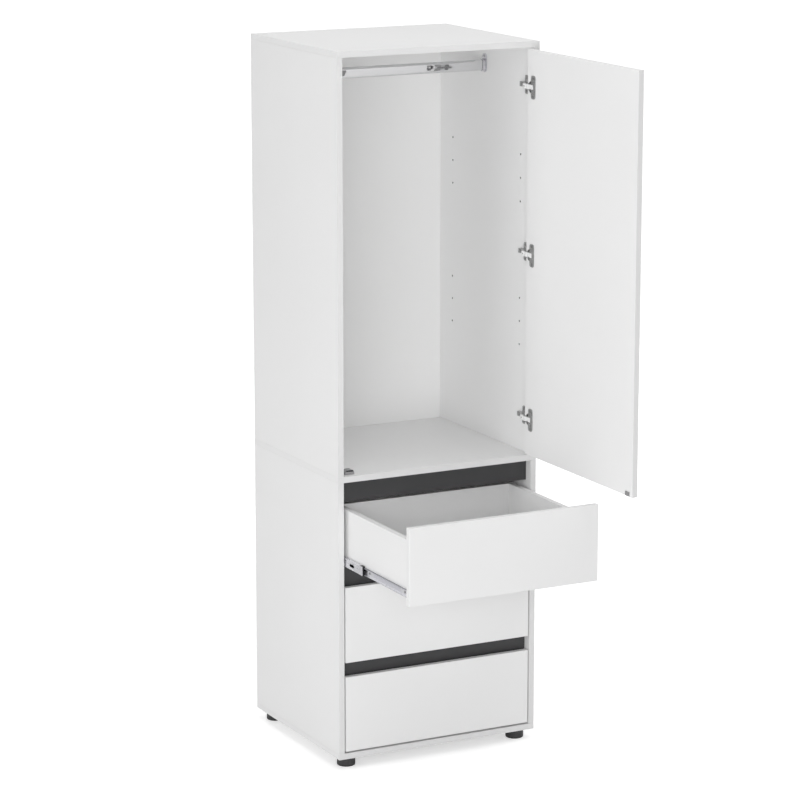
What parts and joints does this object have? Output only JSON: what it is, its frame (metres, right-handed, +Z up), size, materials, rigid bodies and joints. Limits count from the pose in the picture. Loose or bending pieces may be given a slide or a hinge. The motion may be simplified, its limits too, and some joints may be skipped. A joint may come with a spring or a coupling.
{
  "type": "wardrobe",
  "caption": "Tall narrow white wardrobe on round black feet: an inset door over a hanging rail compartment, with handleless inset drawers on ball slides below.",
  "frame": {"origin": "on the floor under the middle of the box round the wardrobe as it rests, with the door open square and the top drawer pulled out", "axes": "+X to the right seen from the front, +Y to the back, +Z up"},
  "size_m": [0.6, 1.09, 1.934],
  "materials": {
    "white_board": "white melamine-faced board, satin",
    "thin_white_board": "thin white-faced fibreboard, matt",
    "anthracite_board": "anthracite melamine-faced board, matt",
    "chrome": "polished chrome",
    "nickel_steel": "nickel-plated pressed steel",
    "zinc_steel": "zinc-plated rolled steel, the middle member with a black plastic front end",
    "black_plastic": "moulded black plastic",
    "grey_fitting": "dark grey moulded plastic"
  },
  "bodies": {
    "carcass": {"top_panel": "white_board", "middle_panel": "white_board", "bottom_panel": "white_board", "upper_side_left": "white_board", "upper_side_right": "white_board", "lower_side_left": "white_board", "lower_side_right": "white_board", "back_panel": "thin_white_board", "handle_board_1": "anthracite_board", "handle_board_2": "anthracite_board", "handle_board_3": "anthracite_board", "foot_front_left": "black_plastic", "foot_front_right": "black_plastic", "foot_rear_left": "black_plastic", "foot_rear_right": "black_plastic", "clothes_rail": "chrome", "rail_socket_left": "chrome", "rail_socket_right": "chrome", "magnet_catch": "grey_fitting", "hinge_arm_1": "nickel_steel", "hinge_arm_2": "nickel_steel", "hinge_arm_3": "nickel_steel", "slide_cabinet_1_left": "zinc_steel", "slide_cabinet_1_right": "zinc_steel", "slide_cabinet_2_left": "zinc_steel", "slide_cabinet_2_right": "zinc_steel", "slide_cabinet_3_left": "zinc_steel", "slide_cabinet_3_right": "zinc_steel"},
    "door": {"door_panel": "white_board", "hinge_cup_1": "nickel_steel", "hinge_cup_2": "nickel_steel", "hinge_cup_3": "nickel_steel", "strike_plate": "grey_fitting"},
    "drawer_1": {"drawer_1_front": "white_board", "drawer_1_side_left": "white_board", "drawer_1_side_right": "white_board", "drawer_1_back": "white_board", "drawer_1_base": "thin_white_board", "slide_runner_1_left": "zinc_steel", "slide_runner_1_right": "zinc_steel"},
    "drawer_2": {"drawer_2_front": "white_board", "drawer_2_side_left": "white_board", "drawer_2_side_right": "white_board", "drawer_2_back": "white_board", "drawer_2_base": "thin_white_board", "slide_runner_2_left": "zinc_steel", "slide_runner_2_right": "zinc_steel"},
    "drawer_3": {"drawer_3_front": "white_board", "drawer_3_side_left": "white_board", "drawer_3_side_right": "white_board", "drawer_3_back": "white_board", "drawer_3_base": "thin_white_board", "slide_runner_3_left": "zinc_steel", "slide_runner_3_right": "zinc_steel"},
    "slide_middle_1": {"slide_middle_1_left": "zinc_steel", "slide_middle_1_right": "zinc_steel"},
    "slide_middle_2": {"slide_middle_2_left": "zinc_steel", "slide_middle_2_right": "zinc_steel"},
    "slide_middle_3": {"slide_middle_3_left": "zinc_steel", "slide_middle_3_right": "zinc_steel"}
  },
  "joints": [
    {"name": "door_hinge", "type": "hinge", "parent": "carcass", "child": "door", "pos_m": [0.28, 0.015, 0.815], "axis": [0, 0, 1], "range_deg": [-90, 20]},
    {"name": "drawer_1_slide", "type": "slide", "parent": "carcass", "child": "drawer_1", "axis": [0, -1, 0], "range_m": [-0.3676, 0.0324]},
    {"name": "drawer_2_slide", "type": "slide", "parent": "carcass", "child": "drawer_2", "axis": [0, -1, 0], "range_m": [0, 0.4]},
    {"name": "drawer_3_slide", "type": "slide", "parent": "carcass", "child": "drawer_3", "axis": [0, -1, 0], "range_m": [0, 0.4]},
    {"name": "slide_middle_1_travel", "type": "slide", "parent": "carcass", "child": "slide_middle_1", "axis": [0, -1, 0], "range_m": [-0.1838, 0.0162]},
    {"name": "slide_middle_2_travel", "type": "slide", "parent": "carcass", "child": "slide_middle_2", "axis": [0, -1, 0], "range_m": [0, 0.2]},
    {"name": "slide_middle_3_travel", "type": "slide", "parent": "carcass", "child": "slide_middle_3", "axis": [0, -1, 0], "range_m": [0, 0.2]}
  ],
  "couplings": [
    {"joint": "slide_middle_1_travel", "follows": "drawer_1_slide", "ratio": 0.5},
    {"joint": "slide_middle_2_travel", "follows": "drawer_2_slide", "ratio": 0.5},
    {"joint": "slide_middle_3_travel", "follows": "drawer_3_slide", "ratio": 0.5}
  ]
}
